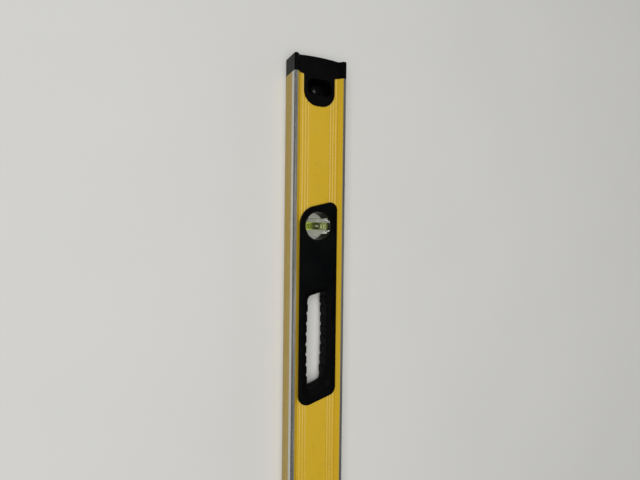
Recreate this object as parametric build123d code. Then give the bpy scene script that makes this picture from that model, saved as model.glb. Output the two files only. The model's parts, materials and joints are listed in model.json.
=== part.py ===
from build123d import *
import os
from math import cos, radians, tan

# Box-beam spirit level, 1200 mm long, lying on its back face. Millimetres.
# X runs along the beam, Y across its width and Z through its thickness, with
# the front face up. The origin is at the middle of the underside.
# Distances named *_from_end are measured from the outer face of an end cap.

# Overall size
LENGTH = 1200.0
WIDTH = 60.0
THICKNESS = 25.0
MID_Z = THICKNESS / 2
HALF_LENGTH = LENGTH / 2
HALF_WIDTH = WIDTH / 2

# Extruded section
FACE_RECESS = 4.6  # depth of the web below the flanges, on both faces
FLANGE_FOOT_Y = 21.9  # where the sloping flank meets the web
FLANGE_TOP_Y = 26.2
EDGE_CHAMFER = 1.0
WEB_WALL = 2.0
FLANGE_WALL = 2.4
EDGE_WALL = 2.2
FLANK_SHIFT = 0.4  # the hollow's flank stands this far outside the outer flank's foot
RIB_Y = 23.0
RIB_WALL = 1.4
GROOVE_YS = (12.9, 16.0, 19.3)
GROOVE_WIDTH = 2.0
GROOVE_DEPTH = 0.3
EDGE_GROOVE_OFFSET = 5.0  # from the middle plane to each groove in the working edges
EDGE_GROOVE_DEPTH = 0.2
WEB_Z = THICKNESS - FACE_RECESS  # front surface of the web

# End caps
COLLAR = 19.0
CAP_BOW = 0.9  # the end face bulges by this much between the corner posts
CAP_CHAMFER = 0.6  # round the end face
CAP_SKIN = 0.6  # the cap's middle stands this far above the web
CAP_WALL = 2.5
CAP_END_WALL = 3.0
TONGUE_FROM_END = 51.2
TONGUE_HALF_WIDTH = 17.8
TONGUE_CORNER = 15.5
TONGUE_ROOT_FILLET = 2.0
TONGUE_EASE = 0.3  # chamfer round the top edge
ROOT_OVERLAP = 1.0  # how far the tongue reaches under the collar
ROOT_INSET = 0.3  # and how far its root stays inside the flanks
TONGUE_LIP = 2.1  # overlap of the tongue on the beam's web
CORE_CLEARANCE = 0.2
PLUG_HALF_WIDTH = 20.2
PLUG_WALL = 2.0
PLUG_DEPTH = 10.0
POCKET_FROM_END = 31.6
POCKET_LENGTH = 27.8  # across the beam
POCKET_WIDTH = 17.4  # along the beam
POCKET_CORNER = 7.6
POCKET_RIM = 3.0
POCKET_TAPER = 25.0
POCKET_FLOOR_Z = 5.5
EYELET_TOP_Z = 10.5
EYELET_RADIUS = 6.0
EYELET_CHAMFER = 1.0
HANG_HOLE_RADIUS = 3.0

# Hand-hold frames: two shells per end, slanted at both ends
FRAME_FROM_END = 154.4
FRAME_END_FROM_END = 361.2
FRAME_HALF_WIDTH = 21.6
FRAME_SLANTS = (14.0, 16.0)
FRAME_RADII = (20.0, 11.0, 9.0, 8.0)
FRAME_PLATE_Z = 22.4
FRAME_RIM_Z = 23.0
FRAME_RIM_WIDTH = 1.8
FRAME_LIP = 2.8  # overlap of the plate on the beam's web
FRAME_UNDERCUT = 1.3  # the bezel leans outwards from the web, as the flanks do
FRAME_EASE = 0.4  # chamfer round the bezel's top edge
SMALLEST_RADIUS = 1.0  # of a plan corner, however far it is inset
OPENING_CLEARANCE = 0.2
SHELL_WALL = 2.0
SHELL_FACE = 2.4

# Hand slot and its soft sleeve
SLOT_FROM_END = 242.4
SLOT_END_FROM_END = 353.3
SLOT_HALF_WIDTH = 16.4
SLOT_SLANTS = (15.0, 18.0)
SLOT_RADII = (9.0, 8.0, 9.0, 7.0)
THROAT_FROM_END = 247.5
THROAT_END_FROM_END = 346.8
THROAT_HALF_WIDTH = 10.5
THROAT_RADII = (6.0, 5.0, 6.0, 4.5)
THROAT_BOW = 1.9  # how far the long walls bulge outwards at their middle
SLEEVE_WALL = 0.8  # how far the sleeve body stays inside its lip
LIP_THICKNESS = 1.5
LIP_FLARE_DEPTH = 2.5
LIP_PROUD = 0.3
GRIP_RIBS = 8
GRIP_PITCH = 10.8
GRIP_LENGTH = 8.0
GRIP_HEIGHT = 0.9

# Plumb vials
PLUMB_FROM_END = 176.5
WINDOW_RADIUS = 14.8
RING_RADIUS = 16.6
RING_PROUD = 0.3
RING_CHAMFER = 0.5

# Vials, drawn along X with the bore's middle at the origin and the plug at its -X end
BORE_RADIUS = 3.8
BORE_END_FILLET = 2.5
PLUG_LENGTH = 2.3
BLOCK_THICKNESS = 14.0
BLOCK_CHAMFER = 0.5
BLOCK_CLEARANCE = 0.15
PLUMB_MID_Y = 0.2
PLUMB_BORE_LENGTH = 26.4
PLUMB_BLOCK_LENGTH = 30.6
PLUMB_BLOCK_WIDTH = 16.5
PLUMB_NECK_WIDTH = 12.6
PLUMB_NECK_LENGTH = 3.9
FLUID_RADIUS = 3.6
LINE_INNER_RADIUS = 3.63
LINE_OUTER_RADIUS = 3.77
LINE_WIDTH = 0.5
LINE_OFFSETS = (-9.6, -6.3, 6.3, 9.6)
BUBBLE_LENGTH = 9.2
BUBBLE_WIDTH = 5.9
BUBBLE_RADIUS = 3.45
BUBBLE_BOTTOM = 1.5  # above the bore's axis
BUBBLE_CLEARANCE = 0.4
PLUMB_TRAVEL = 5.0
MIDDLE_TRAVEL = 15.0

# Middle vial, read through the front, the back and the +Y working edge
MIDDLE_FRAME_HALF_LENGTH = 46.0
MIDDLE_FRAME_RADIUS = 9.0
MIDDLE_WINDOW_HALF_LENGTH = 24.0
MIDDLE_WINDOW_LOW_Y = -5.0
MIDDLE_WINDOW_HIGH_Y = 15.5
MIDDLE_WINDOW_RADIUS = 4.0
MIDDLE_BORE_Y = 6.5
MIDDLE_BORE_LENGTH = 45.6
MIDDLE_BLOCK_LENGTH = 54.0
MIDDLE_BLOCK_LOW_Y = -2.0
MIDDLE_BLOCK_HIGH_Y = 17.5
MIDDLE_NECK_LENGTH = 50.0
MIDDLE_NECK_THICKNESS = 11.2
MIDDLE_NECK_HIGH_Y = 27.6
EDGE_WINDOW_HALF_LENGTH = 25.6
EDGE_WINDOW_HALF_HEIGHT = 6.0

# Shell screws, put in from the back
SCREW_RADIUS = 1.4
SCREW_HEAD_RADIUS = 2.8
SCREW_HEAD_HEIGHT = 2.0
SCREW_LENGTH = 13.0
SCREW_BOSS_RADIUS = 4.0
SCREW_DRIVE = 1.6
SCREW_DRIVE_DEPTH = 1.2
SCREW_RECESS = 0.4
FRAME_SCREWS = ((160.0, 13.0), (202.0, -13.0), (230.0, 13.0))
MIDDLE_SCREWS = ((-38.0, -12.0), (-38.0, 12.0), (38.0, -12.0), (38.0, 12.0))


def beam_section(recess, foot_y, grooved):
    """Outer section of the beam, as a face across X; both faces are alike."""
    web = MID_Z - recess
    quarter = [(0, web)]
    if grooved:
        for y in GROOVE_YS:
            quarter.append((y - GROOVE_WIDTH / 2, web))
            quarter.append((y, web - GROOVE_DEPTH))
            quarter.append((y + GROOVE_WIDTH / 2, web))
    quarter.append((foot_y, web))
    quarter.append((FLANGE_TOP_Y, MID_Z))
    quarter.append((HALF_WIDTH - EDGE_CHAMFER, MID_Z))
    quarter.append((HALF_WIDTH, MID_Z - EDGE_CHAMFER))
    if grooved:
        quarter.append((HALF_WIDTH, EDGE_GROOVE_OFFSET + EDGE_GROOVE_DEPTH))
        quarter.append((HALF_WIDTH - EDGE_GROOVE_DEPTH, EDGE_GROOVE_OFFSET))
        quarter.append((HALF_WIDTH, EDGE_GROOVE_OFFSET - EDGE_GROOVE_DEPTH))
    return mirrored_section(quarter)


def cavity_section(half_width, web_z, flange_z):
    """Hollow inside the beam's or the cap's walls."""
    shoulder = FLANGE_FOOT_Y + FLANK_SHIFT
    slope = FLANGE_TOP_Y - FLANGE_FOOT_Y
    quarter = [(0, web_z), (shoulder, web_z), (shoulder + slope, flange_z), (half_width, flange_z)]
    return mirrored_section(quarter)


def mirrored_section(quarter):
    """Closed face across X from one quarter of an outline, lifted to the beam's middle."""
    upper = quarter + [(y, -z) for y, z in reversed(quarter)]
    outline = upper + [(-y, z) for y, z in reversed(upper) if y > 0]
    return Plane.YZ * Pos(0, MID_Z) * make_face(Polyline(*outline, close=True))


def run(section, x_low, x_high):
    """Section swept straight along X."""
    return Pos(x_low, 0, 0) * extrude(section, amount=x_high - x_low, dir=(1, 0, 0))


def slab(face, z_low, z_high):
    """Plan outline raised between two heights."""
    return Pos(0, 0, z_low) * extrude(face, amount=z_high - z_low)


def block(x_low, x_high, y_low, y_high, z_low, z_high):
    """Box from its limits."""
    size = (x_high - x_low, y_high - y_low, z_high - z_low)
    return Pos(x_low, y_low, z_low) * Box(*size, align=(Align.MIN, Align.MIN, Align.MIN))


def post(x, y, radius, z_low, z_high):
    """Upright cylinder."""
    align = (Align.CENTER, Align.CENTER, Align.MIN)
    return Pos(x, y, z_low) * Cylinder(radius, z_high - z_low, align=align)


def slanted(from_end, end_from_end, half_width, slants, radii, inset=0.0, bow=0.0):
    """Plan outline with two slanted ends, of the -X half; its long sides may bulge by bow."""
    low_slant, high_slant = (radians(slant) for slant in slants)
    x_low = from_end + inset / cos(low_slant) - HALF_LENGTH
    x_high = end_from_end - inset / cos(high_slant) - HALF_LENGTH
    half = half_width - inset
    low_shift = half * tan(low_slant)
    high_shift = half * tan(high_slant)
    corners = [
        (x_low + low_shift, -half),
        (x_high + high_shift, -half),
        (x_high - high_shift, half),
        (x_low - low_shift, half),
    ]
    if bow:
        middle_x = (x_low + x_high) / 2
        middle_shift = (low_shift + high_shift) / 2
        sides = [
            ThreePointArc(corners[0], (middle_x + middle_shift, -half - bow), corners[1]),
            Line(corners[1], corners[2]),
            ThreePointArc(corners[2], (middle_x - middle_shift, half + bow), corners[3]),
            Line(corners[3], corners[0]),
        ]
        face = make_face(sides)
    else:
        face = make_face(Polyline(*corners, close=True))
    for corner, radius in zip(corners, radii):
        vertex = face.vertices().sort_by_distance(corner)[0]
        face = fillet(vertex, max(radius - inset, SMALLEST_RADIUS))
    return face


def bezel(outline):
    """A frame's raised edge: it leans out from the web and its top edge is eased."""
    eased_z = FRAME_RIM_Z - FRAME_EASE
    foot = Pos(0, 0, WEB_Z) * outline(FRAME_UNDERCUT)
    widest = Pos(0, 0, eased_z) * outline()
    top = Pos(0, 0, FRAME_RIM_Z) * outline(FRAME_EASE)
    return loft([foot, widest]) + loft([widest, top])


def frame_outline(inset=0.0):
    ends = FRAME_FROM_END, FRAME_END_FROM_END
    return slanted(*ends, FRAME_HALF_WIDTH, FRAME_SLANTS, FRAME_RADII, inset)


def slot_outline(inset=0.0):
    ends = SLOT_FROM_END, SLOT_END_FROM_END
    return slanted(*ends, SLOT_HALF_WIDTH, SLOT_SLANTS, SLOT_RADII, inset)


def throat_outline(half_width=THROAT_HALF_WIDTH, bow=THROAT_BOW):
    ends = THROAT_FROM_END, THROAT_END_FROM_END
    return slanted(*ends, half_width, SLOT_SLANTS, THROAT_RADII, bow=bow)


def middle_outline(inset=0.0):
    """Plan outline of the middle vial's frame."""
    size = (2 * (MIDDLE_FRAME_HALF_LENGTH - inset), 2 * (FRAME_HALF_WIDTH - inset))
    return RectangleRounded(*size, MIDDLE_FRAME_RADIUS - inset)


def middle_window(grow=0.0):
    """Plan outline of the opening over the middle vial."""
    length = 2 * (MIDDLE_WINDOW_HALF_LENGTH + grow)
    height = MIDDLE_WINDOW_HIGH_Y - MIDDLE_WINDOW_LOW_Y + 2 * grow
    centre_y = (MIDDLE_WINDOW_HIGH_Y + MIDDLE_WINDOW_LOW_Y) / 2
    return Pos(0, centre_y) * RectangleRounded(length, height, MIDDLE_WINDOW_RADIUS + grow)


def tongue_outline(inset=0.0):
    """Plan outline of an end cap's tongue, from the collar to its round tip."""
    half = TONGUE_HALF_WIDTH - inset
    start = COLLAR - ROOT_OVERLAP - HALF_LENGTH
    tip = TONGUE_FROM_END - inset - HALF_LENGTH
    corners = [(start, -half), (tip, -half), (tip, half), (start, half)]
    corner_radius = TONGUE_CORNER - inset
    path = FilletPolyline(*corners, radius=[0, corner_radius, corner_radius, 0], close=True)
    return make_face(path)


def plumb_x():
    return PLUMB_FROM_END - HALF_LENGTH


def other_end(shape):
    """The same piece at the +X end, turned half round about Z."""
    return Rot(0, 0, 180) * shape


def flipped(shape):
    """The back face's copy of a front piece, reflected in the middle plane."""
    return mirror(shape, about=Plane.XY.offset(MID_Z))


def make_beam():
    beam_end = HALF_LENGTH - COLLAR
    beam = run(beam_section(FACE_RECESS, FLANGE_FOOT_Y, True), -beam_end, beam_end)
    web_inside = MID_Z - FACE_RECESS - WEB_WALL
    hollow = cavity_section(HALF_WIDTH - EDGE_WALL, web_inside, MID_Z - FLANGE_WALL)
    beam -= run(hollow, -beam_end, beam_end)
    for side in (-1, 1):
        y = side * RIB_Y
        beam += block(-beam_end, beam_end, y - RIB_WALL / 2, y + RIB_WALL / 2, FACE_RECESS, WEB_Z)
    notch = slab(tongue_outline(TONGUE_LIP), 0, THICKNESS)
    opening = slab(frame_outline(FRAME_LIP - OPENING_CLEARANCE), 0, THICKNESS)
    for cut in (notch, opening):
        beam -= cut
        beam -= other_end(cut)
    beam -= slab(middle_outline(FRAME_LIP - OPENING_CLEARANCE), 0, THICKNESS)
    edge_low, edge_high = MID_Z - EDGE_WINDOW_HALF_HEIGHT, MID_Z + EDGE_WINDOW_HALF_HEIGHT
    half = EDGE_WINDOW_HALF_LENGTH
    beam -= block(-half, half, MIDDLE_WINDOW_HIGH_Y, HALF_WIDTH, edge_low, edge_high)
    return beam


def make_end_cap():
    """Collar, tongues on both faces, a plug in the beam and the hang hole's pocket."""
    end = -HALF_LENGTH
    recess = FACE_RECESS - CAP_SKIN
    slope = (FLANGE_TOP_Y - FLANGE_FOOT_Y) / FACE_RECESS
    section = beam_section(recess, FLANGE_TOP_Y - recess * slope, False)
    cap = run(section, end + CAP_BOW, end + COLLAR)
    end_edges = cap.edges().group_by(Axis.X)[0]
    cap = chamfer(end_edges, CAP_CHAMFER) + end_bulge()
    inside = MID_Z - FACE_RECESS - WEB_WALL
    hollow = cavity_section(HALF_WIDTH - CAP_WALL, inside, MID_Z - CAP_WALL)
    cap -= run(hollow, end + CAP_END_WALL, end + COLLAR)
    plug = block(
        end + CAP_END_WALL, end + COLLAR + PLUG_DEPTH,
        -PLUG_HALF_WIDTH, PLUG_HALF_WIDTH,
        MID_Z - inside + CORE_CLEARANCE, MID_Z + inside - CORE_CLEARANCE,
    )
    plug_hollow = block(
        end + CAP_END_WALL, end + COLLAR + PLUG_DEPTH,
        PLUG_WALL - PLUG_HALF_WIDTH, PLUG_HALF_WIDTH - PLUG_WALL,
        MID_Z - inside + PLUG_WALL, MID_Z + inside - PLUG_WALL,
    )
    cap += plug - plug_hollow
    top = WEB_Z + CAP_SKIN
    tongue = tongue_outline() + root_strip()
    for x, y in ((end + COLLAR, -TONGUE_HALF_WIDTH), (end + COLLAR, TONGUE_HALF_WIDTH)):
        vertex = tongue.vertices().sort_by_distance((x, y))[0]
        tongue = fillet(vertex, TONGUE_ROOT_FILLET)
    plate = slab(tongue, WEB_Z, top)
    plate = chamfer(plate.edges().group_by(Axis.Z)[-1], TONGUE_EASE)
    cap += plate + flipped(plate)
    core = slab(tongue_outline(TONGUE_LIP + CORE_CLEARANCE), THICKNESS - top, top)
    cap += core
    return cap - hang_pocket(top)


def end_bulge():
    """Shallow convex end face between the corner posts."""
    end, half = -HALF_LENGTH, FLANGE_FOOT_Y
    low, high = (end + CAP_BOW, -half), (end + CAP_BOW, half)
    back = end + CAP_BOW + CAP_END_WALL / 2
    front_line = ThreePointArc(low, (end, 0), high)
    back_line = Polyline(high, (back, half), (back, -half), low)
    top = WEB_Z + CAP_SKIN
    bulge = slab(make_face([front_line, back_line]), THICKNESS - top, top)
    arcs = bulge.edges().filter_by(GeomType.CIRCLE)
    return chamfer(arcs, CAP_CHAMFER)


def root_strip():
    """Narrow strip that joins the tongue to the collar across the web."""
    half = FLANGE_FOOT_Y - ROOT_INSET
    return Pos(COLLAR - HALF_LENGTH - ROOT_OVERLAP / 2, 0) * Rectangle(ROOT_OVERLAP, 2 * half)


def hang_pocket(top):
    """Tapered pocket that leaves an eyelet standing on its floor, and the hole through it."""
    x = POCKET_FROM_END - HALF_LENGTH
    mouth = Pos(x, 0) * RectangleRounded(POCKET_WIDTH, POCKET_LENGTH, POCKET_CORNER)
    shrink = POCKET_RIM * tan(radians(POCKET_TAPER))
    inner_size = (POCKET_WIDTH - 2 * shrink, POCKET_LENGTH - 2 * shrink)
    inner = Pos(x, 0) * RectangleRounded(*inner_size, POCKET_CORNER - shrink)
    rim = loft([Pos(0, 0, top - POCKET_RIM) * inner, Pos(0, 0, top) * mouth])
    pocket = rim + slab(inner, POCKET_FLOOR_Z, top - POCKET_RIM)
    eyelet = post(x, 0, EYELET_RADIUS, POCKET_FLOOR_Z, EYELET_TOP_Z)
    pocket -= chamfer(eyelet.edges().group_by(Axis.Z)[-1], EYELET_CHAMFER)
    return pocket + post(x, 0, HANG_HOLE_RADIUS, 0, top)


def screw_bosses(places):
    return [post(x, y, SCREW_BOSS_RADIUS, MID_Z, FRAME_PLATE_Z - SHELL_FACE) for x, y in places]


def frame_screw_places():
    return [(from_end - HALF_LENGTH, y) for from_end, y in FRAME_SCREWS]


def make_front_shell():
    """Front half of a hand-hold frame, open at the plumb vial and at the slot."""
    shell = bezel(frame_outline)
    shell -= slab(frame_outline(FRAME_RIM_WIDTH), FRAME_PLATE_Z, FRAME_RIM_Z)
    body = slab(frame_outline(FRAME_LIP), MID_Z, FRAME_PLATE_Z)
    ceiling = FRAME_PLATE_Z - SHELL_FACE
    hollow = slab(frame_outline(FRAME_LIP + SHELL_WALL), MID_Z, ceiling)
    hollow -= slab(slot_outline(SLEEVE_WALL - SHELL_WALL), MID_Z, ceiling)
    hollow -= post(plumb_x(), 0, RING_RADIUS + SHELL_WALL, MID_Z, ceiling)
    for boss in screw_bosses(frame_screw_places()):
        hollow -= boss
    shell += body - hollow
    shell -= slab(slot_outline(SLEEVE_WALL - OPENING_CLEARANCE), MID_Z, THICKNESS)
    lip_seat = FRAME_PLATE_Z + LIP_PROUD - LIP_THICKNESS
    shell -= slab(slot_outline(-OPENING_CLEARANCE), lip_seat, THICKNESS)
    return shell - post(plumb_x(), 0, RING_RADIUS + OPENING_CLEARANCE / 2, MID_Z, THICKNESS)


def with_screw_holes(front, places):
    """Front shell with pilot holes, and its mirrored back shell with headed holes."""
    back = flipped(front)
    head_z = THICKNESS - FRAME_PLATE_Z
    for x, y in places:
        front -= post(x, y, SCREW_RADIUS, MID_Z, head_z + SCREW_LENGTH + SCREW_RECESS)
        back -= post(x, y, SCREW_RADIUS + OPENING_CLEARANCE, 0, MID_Z)
        head_top = head_z + SCREW_HEAD_HEIGHT + SCREW_RECESS
        back -= post(x, y, SCREW_HEAD_RADIUS + OPENING_CLEARANCE, 0, head_top)
    return front, back


def make_screws(places):
    """Pan-head screws with hexagon sockets, heads towards the back face."""
    low = THICKNESS - FRAME_PLATE_Z + SCREW_RECESS
    screws = []
    for x, y in places:
        head = post(x, y, SCREW_HEAD_RADIUS, low, low + SCREW_HEAD_HEIGHT)
        shank = post(x, y, SCREW_RADIUS, low, low + SCREW_LENGTH)
        socket = slab(Pos(x, y) * RegularPolygon(SCREW_DRIVE, 6), low, low + SCREW_DRIVE_DEPTH)
        screws.append(head + shank - socket)
    return Compound(children=screws)


def make_grip_sleeve():
    """Soft lining of the hand slot: lips on both faces, flared mouths and finger ribs."""
    top = FRAME_PLATE_Z + LIP_PROUD
    lip = slab(slot_outline(), top - LIP_THICKNESS, top)
    sleeve = slab(slot_outline(SLEEVE_WALL), THICKNESS - top, top) + lip + flipped(lip)
    straight_throat = throat_outline(THROAT_HALF_WIDTH + THROAT_BOW, bow=0.0)
    mouth = slot_outline(SLEEVE_WALL)
    flare = loft([Pos(0, 0, top - LIP_FLARE_DEPTH) * straight_throat, Pos(0, 0, top) * mouth])
    sleeve -= flare + flipped(flare)
    return sleeve - slab(ribbed_throat(), 0, THICKNESS)


def ribbed_throat():
    """The throat's outline, less a row of finger ribs along each long wall."""
    middle_x = (THROAT_FROM_END + THROAT_END_FROM_END) / 2 - HALF_LENGTH
    shift = THROAT_HALF_WIDTH * tan(radians(sum(SLOT_SLANTS) / 2))
    half_span = (THROAT_END_FROM_END - THROAT_FROM_END) / 2
    opening = throat_outline()
    for index in range(GRIP_RIBS):
        offset = (index - (GRIP_RIBS - 1) / 2) * GRIP_PITCH
        bulge = THROAT_BOW * (1 - (offset / half_span) ** 2)
        for side in (-1, 1):
            wall_y = side * (THROAT_HALF_WIDTH + bulge)
            place = Pos(middle_x + offset - side * shift, wall_y)
            opening -= place * SlotOverall(GRIP_LENGTH, 2 * GRIP_HEIGHT)
    return opening


def make_plumb_ring():
    """Round housing of a plumb vial, slotted from the back for the block's necks."""
    low, high = THICKNESS - FRAME_PLATE_Z - RING_PROUD, FRAME_PLATE_Z + RING_PROUD
    ring = post(0, 0, RING_RADIUS, low, high) - post(0, 0, WINDOW_RADIUS, low, high)
    rims = ring.edges().filter_by(GeomType.CIRCLE).filter_by(lambda rim: rim.radius == WINDOW_RADIUS)
    ring = chamfer(rims, RING_CHAMFER)
    neck = PLUMB_NECK_WIDTH / 2 + BLOCK_CLEARANCE
    slot_top = MID_Z + BLOCK_THICKNESS / 2 + BLOCK_CLEARANCE
    ring -= block(-neck, neck, -RING_RADIUS, RING_RADIUS, low, slot_top)
    return Pos(plumb_x(), 0, 0) * ring


def along_x(radius, x_low, x_high):
    """Cylinder along X."""
    return Pos((x_low + x_high) / 2, 0, 0) * Rot(0, 90, 0) * Cylinder(radius, x_high - x_low)


def vial_bore(radius, length):
    """Bore or filling, rounded at its +X end."""
    bore = along_x(radius, -length / 2, length / 2)
    end = bore.edges().sort_by(Axis.X)[-1]
    return fillet(end, BORE_END_FILLET)


def vial_plug(bore_length):
    return along_x(BORE_RADIUS, -bore_length / 2 - PLUG_LENGTH, -bore_length / 2)


def vial_fluid(bore_length, travel):
    """Filling, with the headspace that the bubble travels in left open along its top."""
    reach = BUBBLE_LENGTH / 2 + travel + BUBBLE_CLEARANCE
    low = BUBBLE_BOTTOM - BUBBLE_CLEARANCE
    headspace = block(-reach, reach, -BORE_RADIUS, BORE_RADIUS, low, BORE_RADIUS)
    return vial_bore(FLUID_RADIUS, bore_length) - headspace


def vial_lines():
    """Ring lines around the bore, on both sides of the bubble's resting place."""
    half = LINE_WIDTH / 2
    ring = along_x(LINE_OUTER_RADIUS, -half, half) - along_x(LINE_INNER_RADIUS, -half, half)
    return Compound(children=[Pos(offset, 0, 0) * ring for offset in LINE_OFFSETS])


def vial_bubble():
    """Flat-bottomed oval bubble against the top of the bore."""
    oval = extrude(SlotOverall(BUBBLE_LENGTH, BUBBLE_WIDTH), amount=BORE_RADIUS)
    return Pos(0, 0, BUBBLE_BOTTOM) * oval & along_x(BUBBLE_RADIUS, -BUBBLE_LENGTH, BUBBLE_LENGTH)


def plumb_block():
    """Clear block of a plumb vial: wide in the middle, with a narrower neck at each end."""
    solid = Box(PLUMB_BLOCK_LENGTH, PLUMB_NECK_WIDTH, BLOCK_THICKNESS)
    solid += Box(PLUMB_BLOCK_LENGTH - 2 * PLUMB_NECK_LENGTH, PLUMB_BLOCK_WIDTH, BLOCK_THICKNESS)
    solid = chamfer(solid.edges() | Axis.X, BLOCK_CHAMFER)
    x_low = -PLUMB_BORE_LENGTH / 2 - PLUG_LENGTH
    solid = Pos(x_low + PLUMB_BLOCK_LENGTH / 2, 0, 0) * solid
    return solid - vial_bore(BORE_RADIUS, PLUMB_BORE_LENGTH) - vial_plug(PLUMB_BORE_LENGTH)


def middle_block():
    """Clear block of the middle vial, with a thinner part that reaches the reading edge."""
    half, thick = MIDDLE_BLOCK_LENGTH / 2, BLOCK_THICKNESS / 2
    low, high = MIDDLE_BLOCK_LOW_Y - MIDDLE_BORE_Y, MIDDLE_BLOCK_HIGH_Y - MIDDLE_BORE_Y
    base = block(-half, half, low, high, -thick, thick)
    neck_half, neck_thick = MIDDLE_NECK_LENGTH / 2, MIDDLE_NECK_THICKNESS / 2
    top = MIDDLE_NECK_HIGH_Y - MIDDLE_BORE_Y
    neck = block(-neck_half, neck_half, high - 2 * BLOCK_CHAMFER, top, -neck_thick, neck_thick)
    solid = chamfer(base.edges() | Axis.X, BLOCK_CHAMFER) + chamfer(neck.edges() | Axis.X, BLOCK_CHAMFER)
    return solid - vial_bore(BORE_RADIUS, MIDDLE_BORE_LENGTH) - vial_plug(MIDDLE_BORE_LENGTH)


def make_middle_front_shell():
    """Front half of the middle frame, with its window and a seat for the clear block."""
    shell = bezel(middle_outline)
    shell -= slab(middle_outline(FRAME_RIM_WIDTH), FRAME_PLATE_Z, FRAME_RIM_Z)
    ceiling = FRAME_PLATE_Z - SHELL_FACE
    hollow = slab(middle_outline(FRAME_LIP + SHELL_WALL), MID_Z, ceiling)
    hollow -= slab(middle_window(SHELL_WALL), MID_Z, ceiling)
    for boss in screw_bosses(MIDDLE_SCREWS):
        hollow -= boss
    shell += slab(middle_outline(FRAME_LIP), MID_Z, FRAME_PLATE_Z) - hollow
    shell -= slab(middle_window(), MID_Z, THICKNESS)
    half = MIDDLE_BLOCK_LENGTH / 2 + BLOCK_CLEARANCE
    seat_low = MIDDLE_BLOCK_LOW_Y - BLOCK_CLEARANCE
    seat_top = MID_Z + BLOCK_THICKNESS / 2 + BLOCK_CLEARANCE
    return shell - block(-half, half, seat_low, FRAME_HALF_WIDTH, MID_Z, seat_top)


def vial_nodes(prefix, clear_block, bore_length, travel, place):
    """A vial's pieces, put in place."""
    return {
        prefix + "_vial_block": place * clear_block,
        prefix + "_vial_plug": place * vial_plug(bore_length),
        prefix + "_vial_fluid": place * vial_fluid(bore_length, travel),
        prefix + "_vial_lines": place * vial_lines(),
        prefix + "_bubble": place * vial_bubble(),
    }


def end_nodes():
    """Everything at the -X end apart from the beam, under names without a side."""
    front, back = with_screw_holes(make_front_shell(), frame_screw_places())
    nodes = {
        "end_cap": make_end_cap(),
        "front_shell": front,
        "back_shell": back,
        "shell_screws": make_screws(frame_screw_places()),
        "grip_sleeve": make_grip_sleeve(),
        "plumb_ring": make_plumb_ring(),
    }
    place = Pos(plumb_x(), PLUMB_MID_Y, MID_Z) * Rot(0, 0, 90)
    nodes.update(vial_nodes("plumb", plumb_block(), PLUMB_BORE_LENGTH, PLUMB_TRAVEL, place))
    return nodes


def middle_nodes():
    front, back = with_screw_holes(make_middle_front_shell(), MIDDLE_SCREWS)
    nodes = {
        "middle_front_shell": front,
        "middle_back_shell": back,
        "middle_shell_screws": make_screws(MIDDLE_SCREWS),
    }
    place = Pos(0, MIDDLE_BORE_Y, MID_Z)
    nodes.update(vial_nodes("middle", middle_block(), MIDDLE_BORE_LENGTH, MIDDLE_TRAVEL, place))
    return nodes


all_nodes = {"beam": make_beam()}
all_nodes.update(middle_nodes())
for name, shape in end_nodes().items():
    all_nodes["left_" + name] = shape
    all_nodes["right_" + name] = other_end(shape)

os.makedirs("parts", exist_ok=True)
for name, shape in all_nodes.items():
    export_step(shape, f"parts/{name}.step")
print(len(all_nodes), "nodes written")
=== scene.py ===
import json
from math import atan2, copysign, cos, hypot, radians, sin, tau

import bmesh
import bpy
from mathutils import Matrix, Vector


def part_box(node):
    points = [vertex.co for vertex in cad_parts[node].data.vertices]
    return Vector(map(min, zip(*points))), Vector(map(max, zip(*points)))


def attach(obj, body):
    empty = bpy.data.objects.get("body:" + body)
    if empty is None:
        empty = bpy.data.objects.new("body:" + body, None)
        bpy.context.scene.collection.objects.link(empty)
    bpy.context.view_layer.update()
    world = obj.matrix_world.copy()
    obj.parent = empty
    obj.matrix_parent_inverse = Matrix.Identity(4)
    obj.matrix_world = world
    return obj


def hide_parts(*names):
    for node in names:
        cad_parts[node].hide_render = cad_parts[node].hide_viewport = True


# A yellow box-beam spirit level lying on a pale table. Metres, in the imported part's frame:
# X along the beam, Y across it, Z up out of its front face.

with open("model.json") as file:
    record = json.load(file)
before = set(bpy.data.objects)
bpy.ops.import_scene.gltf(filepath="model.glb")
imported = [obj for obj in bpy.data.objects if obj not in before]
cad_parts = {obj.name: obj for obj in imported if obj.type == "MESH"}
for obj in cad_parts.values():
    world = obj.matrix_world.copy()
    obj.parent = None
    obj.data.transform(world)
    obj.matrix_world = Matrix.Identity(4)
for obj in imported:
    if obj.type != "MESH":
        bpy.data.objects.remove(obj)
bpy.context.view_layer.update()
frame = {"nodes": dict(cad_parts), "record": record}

MM = 0.001
BODY = "level"

# Camera, from the left of the beam and above it
CAMERA_PLACE = (-0.4147, -0.1996, 0.4386)
CAMERA_TURN = (25.807, -0.729, 90.673)
CAMERA_LENS = 24.75

# Room
LIGHT_AIM = (-0.4, 0.05, 0.0)
WHITE = (1.0, 0.99, 0.97)
LIGHTS = {  # place, size and power
    "lamp": ((-0.4, -0.60, 2.0), (2.8, 2.1), 53.0),
    "bounce": ((-0.4, 1.9, 0.6), (2.4, 0.8), 5.0),
}
ROOM_COLOUR = (0.96, 0.98, 1.0)
ROOM_STRENGTH = 0.08
FLOOR_HALF_SIZE = 3.0
FLOOR_COLOURS = ((0.64, 0.64, 0.625), (0.68, 0.68, 0.665))

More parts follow.
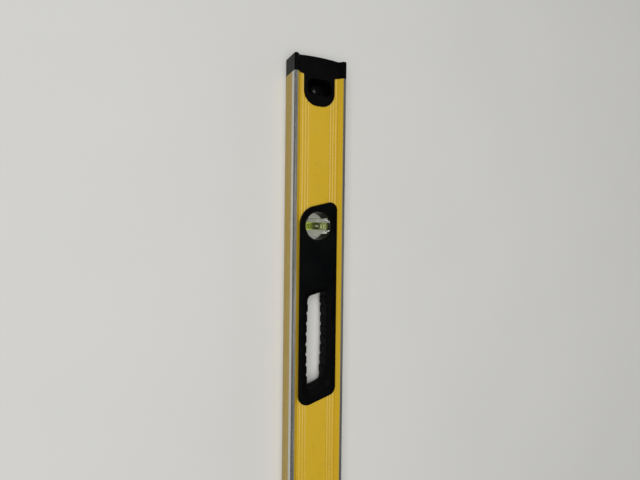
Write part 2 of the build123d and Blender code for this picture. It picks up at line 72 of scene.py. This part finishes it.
# Beam
BARE_FACE_STRIP = 3.7 * MM  # milled strip along each long edge of the front face
BARE_EDGE_STRIP = 7.4 * MM  # and its continuation down the working edges
PAINT_EDGE = 0.15 * MM  # width of the soft border between paint and bare metal
EDGE_PAINTED_SHADE = 0.37  # how much the working edges are darkened: painted shade on the side faces
CREASE_SHADE_REACH = 1.5 * MM  # painted shade reaches this far from an inner corner
PAINT_YELLOWS = ((0.57, 0.365, 0.014), (0.63, 0.405, 0.018))  # the coat drifts between these
SMUDGE_COLOUR = (0.34, 0.21, 0.016)
SIDE_SHADE_COLOUR = (0.22, 0.16, 0.012)
CREASE_SHADE_COLOUR = (0.16, 0.11, 0.012)
BARE_METALS = ((0.50, 0.50, 0.46), (0.72, 0.72, 0.68))  # across the milling streaks
PAINT_SHINE = 0.48
PAINT_ROUGHNESS = (0.28, 0.38)
METAL_ROUGHNESS = (0.20, 0.32)
STREAK_SCALE = (12.0, 900.0, 900.0)  # milling streaks run along the beam

# Dark plastics: colour, roughness, grain per metre, grain depth, shine
PLASTICS = {
    "cap_plastic": ((0.0010, 0.0010, 0.0015), 0.36, 1400.0, 0.04 * MM, 0.08),
    "frame_plastic": ((0.0004, 0.0007, 0.0009), 0.34, 1800.0, 0.03 * MM, 0.08),
    "grip_rubber": ((0.0005, 0.0005, 0.0006), 0.62, 900.0, 0.06 * MM, 0.05),
    "ring_plastic": ((0.0014, 0.0014, 0.0016), 0.35, 2200.0, 0.02 * MM, 0.08),
    "vial_lines": ((0.008, 0.010, 0.006), 0.5, 2000.0, 0.01 * MM, 0.08),
}

# Vials
PLASTIC_IOR = 1.49
FLUID_IOR = 1.36
PLUG_IOR = 1.45
BORE_RADIUS = 3.8 * MM
BORE_END_FILLET = 2.5 * MM
OVERLAP = 0.05 * MM  # the filling and the plug reach this far into the clear block
PLUG_RIM = 0.4 * MM
PLUG_DIMPLE = 0.6 * MM
GLUE_HALF_WIDTH = 3.9 * MM  # dark glue spot on each end face of a plumb vial's block
GLUE_EDGE = 0.3 * MM
BUBBLE_HALF_SIZE = (4.5 * MM, 2.9 * MM, 1.6 * MM)  # along the bore, across it, up
BUBBLE_SQUARENESS = (0.9, 0.9, 0.55)  # 1 is an ellipsoid, less is boxier
BUBBLE_RISE = 1.6 * MM  # its middle above the bore's axis
BUBBLE_REACH = 3.5 * MM  # it stays this close to the axis, inside the ring lines
GLOW_REACH = (4.2 * MM, 5.8 * MM)  # from the vial's middle: the painted glow grows between these
GLOW_STRENGTH = (0.02, 0.10)
SEGMENTS = 64
RINGS = 32
ARC_STEPS = 10
VIALS = {
    "left_plumb": ("left_plumb_vial", "left_plumb_bubble", "left_bubble"),
    "middle": ("middle_vial", "middle_bubble", "middle_bubble_body"),
    "right_plumb": ("right_plumb_vial", "right_plumb_bubble", "right_bubble"),
}


def middle_of(node):
    low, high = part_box(node)
    return (Vector(low) + Vector(high)) / 2


def new_material(name):
    """A material with a Principled shader; returns the material and its node tree."""
    material = bpy.data.materials.new(name)
    material.use_nodes = True
    return material, material.node_tree


def shader_of(tree):
    return tree.nodes["Principled BSDF"]


def math_node(tree, operation, first, second=None):
    """Math node; its inputs are sockets or numbers. Returns its output."""
    node = tree.nodes.new("ShaderNodeMath")
    node.operation = operation
    for index, value in enumerate((first, second)):
        if value is None:
            continue
        if isinstance(value, (int, float)):
            node.inputs[index].default_value = value
        else:
            tree.links.new(value, node.inputs[index])
    return node.outputs[0]


def ramp_between(tree, value, low, high, low_result=0.0, high_result=1.0):
    """Linear, clamped change from low_result to high_result as value goes from low to high."""
    node = tree.nodes.new("ShaderNodeMapRange")
    node.inputs["From Min"].default_value = low
    node.inputs["From Max"].default_value = high
    node.inputs["To Min"].default_value = low_result
    node.inputs["To Max"].default_value = high_result
    tree.links.new(value, node.inputs["Value"])
    return node.outputs["Result"]


def mix_colours(tree, factor, first, second):
    """Colour mix; first and second are sockets or RGB tuples."""
    node = tree.nodes.new("ShaderNodeMix")
    node.data_type = "RGBA"
    tree.links.new(factor, node.inputs["Factor"])
    for name, value in (("A", first), ("B", second)):
        socket = next(s for s in node.inputs if s.name == name and s.type == "RGBA")
        if isinstance(value, tuple):
            socket.default_value = (*value, 1.0)
        else:
            tree.links.new(value, socket)
    return next(s for s in node.outputs if s.type == "RGBA")


def mix_values(tree, factor, first, second):
    """Number mix; first and second are sockets or numbers."""
    difference = math_node(tree, "SUBTRACT", second, first)
    return math_node(tree, "ADD", math_node(tree, "MULTIPLY", difference, factor), first)


def place_of(tree, stretch=(1.0, 1.0, 1.0)):
    """Position on the part, in metres, stretched for a texture."""
    coordinates = tree.nodes.new("ShaderNodeTexCoord")
    mapping = tree.nodes.new("ShaderNodeMapping")
    mapping.inputs["Scale"].default_value = stretch
    tree.links.new(coordinates.outputs["Object"], mapping.inputs["Vector"])
    return mapping.outputs["Vector"]


def along_axis(tree, vector, axis):
    """One coordinate of a vector."""
    axes = tree.nodes.new("ShaderNodeSeparateXYZ")
    tree.links.new(vector, axes.inputs["Vector"])
    return axes.outputs[axis]


def noise(tree, vector, scale, detail=4.0, roughness=0.5):
    node = tree.nodes.new("ShaderNodeTexNoise")
    node.inputs["Scale"].default_value = scale
    node.inputs["Detail"].default_value = detail
    node.inputs["Roughness"].default_value = roughness
    tree.links.new(vector, node.inputs["Vector"])
    return node.outputs["Fac"]


def corner_shade(tree, reach):
    """Painted shade from ambient occlusion: 1 in tight inner corners, 0 on open surfaces."""
    node = tree.nodes.new("ShaderNodeAmbientOcclusion")
    node.samples = 8
    node.inputs["Distance"].default_value = reach
    return math_node(tree, "SUBTRACT", 1.0, node.outputs["AO"])


def bump(tree, height, strength, distance):
    node = tree.nodes.new("ShaderNodeBump")
    node.inputs["Strength"].default_value = strength
    node.inputs["Distance"].default_value = distance
    tree.links.new(height, node.inputs["Height"])
    return node.outputs["Normal"]


def let_lamps_through(tree, tint):
    """Rays from lamps also pass straight through the clear material, tinted, to what is behind it."""
    path = tree.nodes.new("ShaderNodeLightPath")
    clear = tree.nodes.new("ShaderNodeBsdfTransparent")
    clear.inputs["Color"].default_value = (*tint, 1.0)
    mix = tree.nodes.new("ShaderNodeMixShader")
    output = tree.nodes["Material Output"]
    shader = output.inputs["Surface"].links[0].from_socket
    tree.links.new(path.outputs["Is Shadow Ray"], mix.inputs["Fac"])
    tree.links.new(shader, mix.inputs[1])
    tree.links.new(clear.outputs["BSDF"], mix.inputs[2])
    tree.links.new(mix.outputs["Shader"], output.inputs["Surface"])


def painted_beam():
    """Yellow powder coat, with bare milled aluminium along the front corners, and painted shade on
    the side faces and in inner corners.
    """
    material, tree = new_material("painted_beam")
    shader = shader_of(tree)
    low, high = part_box("beam")
    position = place_of(tree)
    across = math_node(tree, "ABSOLUTE", along_axis(tree, position, "Y"))
    face_edge = high.y - BARE_FACE_STRIP
    face = ramp_between(tree, across, face_edge - PAINT_EDGE, face_edge)
    rail_low = high.z - BARE_EDGE_STRIP
    rail = ramp_between(tree, along_axis(tree, position, "Z"), rail_low - PAINT_EDGE, rail_low)
    bare = math_node(tree, "MULTIPLY", face, rail)

    drift = noise(tree, position, 9.0)
    yellow = mix_colours(tree, drift, *PAINT_YELLOWS)
    smudge = ramp_between(tree, noise(tree, position, 120.0, 6.0, 0.65), 0.55, 0.80, 0.0, 0.35)
    yellow = mix_colours(tree, smudge, yellow, SMUDGE_COLOUR)
    # Painted shade: the side faces (working edges) are darkened towards the shade colour.
    side_shade_start = high.y - 2 * PAINT_EDGE
    side_shade = ramp_between(tree, across, side_shade_start, high.y - PAINT_EDGE, 0.0, EDGE_PAINTED_SHADE)
    yellow = mix_colours(tree, side_shade, yellow, SIDE_SHADE_COLOUR)
    # Painted shade: inner corners and creases are darkened towards the crease shade colour.
    crease_shade = ramp_between(tree, corner_shade(tree, CREASE_SHADE_REACH), 0.06, 0.22, 0.0, 0.6)
    yellow = mix_colours(tree, crease_shade, yellow, CREASE_SHADE_COLOUR)

    streaks = noise(tree, place_of(tree, STREAK_SCALE), 1.0, 5.0, 0.6)
    metal = mix_colours(tree, streaks, *BARE_METALS)
    tree.links.new(mix_colours(tree, bare, yellow, metal), shader.inputs["Base Color"])
    tree.links.new(bare, shader.inputs["Metallic"])
    shader.inputs["Specular IOR Level"].default_value = PAINT_SHINE
    paint = ramp_between(tree, noise(tree, position, 60.0), 0.3, 0.7, *PAINT_ROUGHNESS)
    milled = ramp_between(tree, streaks, 0.3, 0.7, *METAL_ROUGHNESS)
    tree.links.new(mix_values(tree, bare, paint, milled), shader.inputs["Roughness"])
    peel = noise(tree, position, 900.0, 2.0)
    relief = mix_values(tree, bare, peel, streaks)
    tree.links.new(bump(tree, relief, 0.25, 0.05 * MM), shader.inputs["Normal"])
    return material


def moulded_plastic(name, colour, gloss, grain_scale, grain_depth, shine):
    """Dark plastic with a fine spark-eroded texture, light scuffs and patches of dust."""
    material, tree = new_material(name)
    shader = shader_of(tree)
    position = place_of(tree)
    worn = tuple(channel * 2.5 + 0.0015 for channel in colour)
    dusty = tuple(channel * 1.6 + 0.0005 for channel in colour)
    scuff = ramp_between(tree, noise(tree, position, 220.0, 8.0, 0.7), 0.60, 0.75, 0.0, 0.5)
    base = mix_colours(tree, scuff, colour, worn)
    dust = ramp_between(tree, noise(tree, position, 35.0, 3.0), 0.45, 0.75, 0.0, 0.6)
    tree.links.new(mix_colours(tree, dust, base, dusty), shader.inputs["Base Color"])
    shader.inputs["Specular IOR Level"].default_value = shine
    patch = noise(tree, position, 45.0)
    roughness = ramp_between(tree, patch, 0.3, 0.7, gloss - 0.06, gloss + 0.06)
    tree.links.new(roughness, shader.inputs["Roughness"])
    grain = noise(tree, position, grain_scale, 3.0)
    tree.links.new(bump(tree, grain, 0.5, grain_depth), shader.inputs["Normal"])
    return material


def clear_acrylic():
    """Clear block, slightly hazy from handling, with dark glue in the middle of its end faces."""
    material, tree = new_material("clear_block")
    shader = shader_of(tree)
    shader.inputs["IOR"].default_value = PLASTIC_IOR
    geometry = tree.nodes.new("ShaderNodeNewGeometry")
    facing = math_node(tree, "ABSOLUTE", along_axis(tree, geometry.outputs["True Normal"], "Y"))
    position = place_of(tree)
    plumb_x = abs(middle_of("left_plumb_vial_fluid").x)  # both plumb vials lie this far out
    from_middle = math_node(tree, "ABSOLUTE", along_axis(tree, position, "X"))
    off_axis = math_node(tree, "ABSOLUTE", math_node(tree, "SUBTRACT", from_middle, plumb_x))
    in_middle = ramp_between(tree, off_axis, GLUE_HALF_WIDTH, GLUE_HALF_WIDTH + GLUE_EDGE, 1.0, 0.0)
    glued = math_node(tree, "MULTIPLY", ramp_between(tree, facing, 0.95, 0.98), in_middle)
    tint = mix_colours(tree, glued, (0.96, 0.97, 0.95), (0.02, 0.02, 0.02))
    tree.links.new(tint, shader.inputs["Base Color"])
    tree.links.new(math_node(tree, "SUBTRACT", 1.0, glued), shader.inputs["Transmission Weight"])
    haze = ramp_between(tree, noise(tree, position, 300.0, 5.0), 0.4, 0.8, 0.0, 0.03)
    tree.links.new(math_node(tree, "MAXIMUM", haze, glued), shader.inputs["Roughness"])
    let_lamps_through(tree, (0.50, 0.50, 0.48))
    return material


def lime_fluid():
    """Dyed fluid with a painted glow: a weak emission, growing towards its ends, makes it brighter
    than what is behind it.
    """
    material, tree = new_material("vial_fluid")
    shader = shader_of(tree)
    shader.inputs["IOR"].default_value = FLUID_IOR
    shader.inputs["Transmission Weight"].default_value = 1.0
    shader.inputs["Roughness"].default_value = 0.0
    shader.inputs["Emission Color"].default_value = (0.60, 0.72, 0.10, 1.0)
    position = place_of(tree)
    from_middle = math_node(tree, "ABSOLUTE", along_axis(tree, position, "X"))
    # Painted glow: emission grows from the vial's middle towards its ends.
    glow = ramp_between(tree, from_middle, *GLOW_REACH, *GLOW_STRENGTH)
    tree.links.new(glow, shader.inputs["Emission Strength"])
    cloud = noise(tree, position, 120.0)
    tint = mix_colours(tree, cloud, (0.97, 0.99, 0.80), (0.99, 1.0, 0.86))
    tree.links.new(tint, shader.inputs["Base Color"])
    let_lamps_through(tree, (0.90, 0.95, 0.55))
    return material


def lime_plug():
    material, tree = new_material("vial_plug")
    shader = shader_of(tree)
    shader.inputs["IOR"].default_value = PLUG_IOR
    shader.inputs["Transmission Weight"].default_value = 0.8
    # Painted glow: a weak emission makes the plug brighter than its lighting gives.
    shader.inputs["Emission Color"].default_value = (0.62, 0.72, 0.22, 1.0)
    shader.inputs["Emission Strength"].default_value = 0.16
    cloud = noise(tree, place_of(tree), 400.0)
    tint = mix_colours(tree, cloud, (0.84, 0.92, 0.42), (0.90, 0.97, 0.50))
    tree.links.new(tint, shader.inputs["Base Color"])
    tree.links.new(ramp_between(tree, cloud, 0.3, 0.7, 0.25, 0.4), shader.inputs["Roughness"])
    let_lamps_through(tree, (0.70, 0.78, 0.25))
    return material


def air_in_fluid():
    """Bubble: light bends out of the fluid into the air; its steep rim is painted near-black,
    standing in for the light that does not come through it.
    """
    material, tree = new_material("air_bubble")
    tree.nodes.remove(shader_of(tree))
    glass = tree.nodes.new("ShaderNodeBsdfGlass")
    glass.inputs["IOR"].default_value = 1 / FLUID_IOR
    weight = tree.nodes.new("ShaderNodeLayerWeight")
    # Painted shade: the glass turns near-black at grazing angles, drawing the bubble's dark outline.
    painted_dark_rim = ramp_between(tree, weight.outputs["Facing"], 0.14, 0.24)
    tint = mix_colours(tree, painted_dark_rim, (1.0, 1.0, 0.96), (0.01, 0.012, 0.005))
    tree.links.new(tint, glass.inputs["Color"])
    film = ramp_between(tree, noise(tree, place_of(tree), 500.0), 0.4, 0.8, 0.0, 0.02)
    tree.links.new(film, glass.inputs["Roughness"])
    tree.links.new(glass.outputs["BSDF"], tree.nodes["Material Output"].inputs["Surface"])
    let_lamps_through(tree, (0.80, 0.82, 0.70))
    return material


def blackened_steel():
    material, tree = new_material("screw_steel")
    shader = shader_of(tree)
    shader.inputs["Metallic"].default_value = 1.0
    wear = ramp_between(tree, noise(tree, place_of(tree), 900.0, 6.0), 0.5, 0.7)
    tint = mix_colours(tree, wear, (0.10, 0.10, 0.105), (0.35, 0.34, 0.33))
    tree.links.new(tint, shader.inputs["Base Color"])
    tree.links.new(ramp_between(tree, wear, 0.0, 1.0, 0.45, 0.3), shader.inputs["Roughness"])
    return material


materials = {name: moulded_plastic(name, *look) for name, look in PLASTICS.items()}
materials["painted_beam"] = painted_beam()
materials["clear_block"] = clear_acrylic()
materials["vial_plug"] = lime_plug()
materials["vial_fluid"] = lime_fluid()
materials["air_bubble"] = air_in_fluid()
materials["screw_steel"] = blackened_steel()


def dress_cad_nodes():
    """Every CAD node takes the material of its slot in the record."""
    for entry in frame["record"]["subparts"]:
        node = frame["nodes"][entry["node"]]
        node.data.materials.clear()
        node.data.materials.append(materials[entry["material_slot"]])


def mesh_piece(name, mesh, place, slot, body, node):
    """Smooth new object that rides on a body and stands for a CAD node."""
    for polygon in mesh.polygons:
        polygon.use_smooth = True
    piece = bpy.data.objects.new(name, mesh)
    piece.matrix_world = place
    bpy.context.scene.collection.objects.link(piece)
    mesh.materials.append(materials[slot])
    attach(piece, body)
    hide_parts(node)


def lathe(name, profile):
    """Closed surface of revolution about X; profile lists (distance along, radius)."""
    turned = bmesh.new()
    rings = []
    for distance, radius in profile:
        angles = [tau * index / SEGMENTS for index in range(SEGMENTS)]
        rings.append([turned.verts.new((distance, radius * cos(a), radius * sin(a))) for a in angles])
    for first, second in zip(rings, rings[1:]):
        for index in range(SEGMENTS):
            after = (index + 1) % SEGMENTS
            turned.faces.new((first[index], first[after], second[after], second[index]))
    for ring in (rings[0], rings[-1]):
        turned.faces.new(ring)
    bmesh.ops.recalc_face_normals(turned, faces=turned.faces)
    mesh = bpy.data.meshes.new(name)
    turned.to_mesh(mesh)
    turned.free()
    return mesh


def arc(centre_x, centre_radius, radius, start, end):
    """Points of a profile's rounded corner; angles are from the axis, in degrees."""
    points = []
    for step in range(ARC_STEPS + 1):
        angle = radians(start + (end - start) * step / ARC_STEPS)
        points.append((centre_x + radius * cos(angle), centre_radius + radius * sin(angle)))
    return points


def fluid_profile(half_length):
    """The bore's filling, from the plug to the rounded end."""
    radius = BORE_RADIUS + OVERLAP
    corner_x = half_length + OVERLAP - BORE_END_FILLET
    corner = arc(corner_x, radius - BORE_END_FILLET, BORE_END_FILLET, 90, 0)
    return [(-half_length - OVERLAP, radius)] + corner


def plug_profile(inner_x, outer_x):
    """Plug with a rounded outer rim and a shallow dimple in its outer face."""
    radius = BORE_RADIUS + OVERLAP
    painted_dark_rim = arc(outer_x + PLUG_RIM, radius - PLUG_RIM, PLUG_RIM, 90, 180)
    dimple = [(outer_x, radius / 2), (outer_x + PLUG_DIMPLE, radius / 4)]
    return [(inner_x, radius / 2), (inner_x, radius)] + painted_dark_rim + dimple


def bubble_mesh(name):
    """Rounded oval bubble, a little boxier than an ellipsoid."""
    blown = bmesh.new()
    bmesh.ops.create_uvsphere(blown, u_segments=SEGMENTS, v_segments=RINGS, radius=1.0)
    for vertex in blown.verts:
        for axis, (half_size, squareness) in enumerate(zip(BUBBLE_HALF_SIZE, BUBBLE_SQUARENESS)):
            share = abs(vertex.co[axis]) ** squareness
            vertex.co[axis] = copysign(share, vertex.co[axis]) * half_size
        vertex.co.z += BUBBLE_RISE
        squeeze = min(1.0, BUBBLE_REACH / hypot(vertex.co.y, vertex.co.z))
        vertex.co.y *= squeeze
        vertex.co.z *= squeeze
    mesh = bpy.data.meshes.new(name)
    blown.to_mesh(mesh)
    blown.free()
    return mesh


def add_vial(prefix, vial, bubble, bubble_body):
    """Filling, plug and bubble of one vial, in place of their plain CAD solids."""
    fluid, plug = vial + "_fluid", vial + "_plug"
    centre = middle_of(fluid)
    away = centre - middle_of(plug)
    place = Matrix.Translation(centre) @ Matrix.Rotation(atan2(away.y, away.x), 4, "Z")
    low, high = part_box(fluid)
    half_length = max(high.x - low.x, high.y - low.y) / 2
    low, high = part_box(plug)
    plug_length = min(high.x - low.x, high.y - low.y)
    filling = lathe(prefix + "_filling", fluid_profile(half_length))
    stopper = lathe(prefix + "_stopper", plug_profile(-half_length, -half_length - plug_length))
    air = bubble_mesh(prefix + "_air")
    mesh_piece(filling.name, filling, place, "vial_fluid", BODY, fluid)
    mesh_piece(stopper.name, stopper, place, "vial_plug", BODY, plug)
    mesh_piece(air.name, air, place, "air_bubble", bubble_body, bubble)


def set_camera():
    data = bpy.data.cameras.new("camera")
    data.lens = CAMERA_LENS
    camera = bpy.data.objects.new("camera", data)
    camera.location = CAMERA_PLACE
    camera.rotation_mode = "ZYX"
    camera.rotation_euler = [radians(angle) for angle in CAMERA_TURN]
    bpy.context.scene.collection.objects.link(camera)
    bpy.context.scene.camera = camera


def area_light(name, place, size, power):
    data = bpy.data.lights.new(name, "AREA")
    data.shape = "RECTANGLE"
    data.size, data.size_y = size
    data.energy = power
    data.color = WHITE
    light = bpy.data.objects.new(name, data)
    light.location = place
    towards = Vector(LIGHT_AIM) - Vector(place)
    light.rotation_euler = towards.to_track_quat("-Z", "Y").to_euler()
    bpy.context.scene.collection.objects.link(light)


def set_lights():
    """Soft lamp overhead, on the camera's side, a weak bounce from the other side and a dim room."""
    world = bpy.data.worlds.new("room")
    world.use_nodes = True
    background = world.node_tree.nodes["Background"]
    background.inputs["Color"].default_value = (*ROOM_COLOUR, 1.0)
    background.inputs["Strength"].default_value = ROOM_STRENGTH
    bpy.context.scene.world = world
    for name, (place, size, power) in LIGHTS.items():
        area_light(name, place, size, power)


def set_view():
    """Plain colours: the default view transform turns this yellow grey."""
    bpy.context.scene.view_settings.view_transform = "Standard"


def set_floor():
    size = FLOOR_HALF_SIZE
    mesh = bpy.data.meshes.new("table")
    corners = [(-size, -size, 0), (size, -size, 0), (size, size, 0), (-size, size, 0)]
    mesh.from_pydata(corners, [], [(0, 1, 2, 3)])
    floor = bpy.data.objects.new("table", mesh)
    bpy.context.scene.collection.objects.link(floor)
    material, tree = new_material("table")
    shader = shader_of(tree)
    tone = noise(tree, place_of(tree), 6.0)
    tint = mix_colours(tree, tone, *FLOOR_COLOURS)
    tree.links.new(tint, shader.inputs["Base Color"])
    shader.inputs["Roughness"].default_value = 0.6
    shader.inputs["Specular IOR Level"].default_value = 0.2
    mesh.materials.append(material)


dress_cad_nodes()
for prefix, names in VIALS.items():
    add_vial(prefix, *names)
set_floor()
set_lights()
set_view()
set_camera()
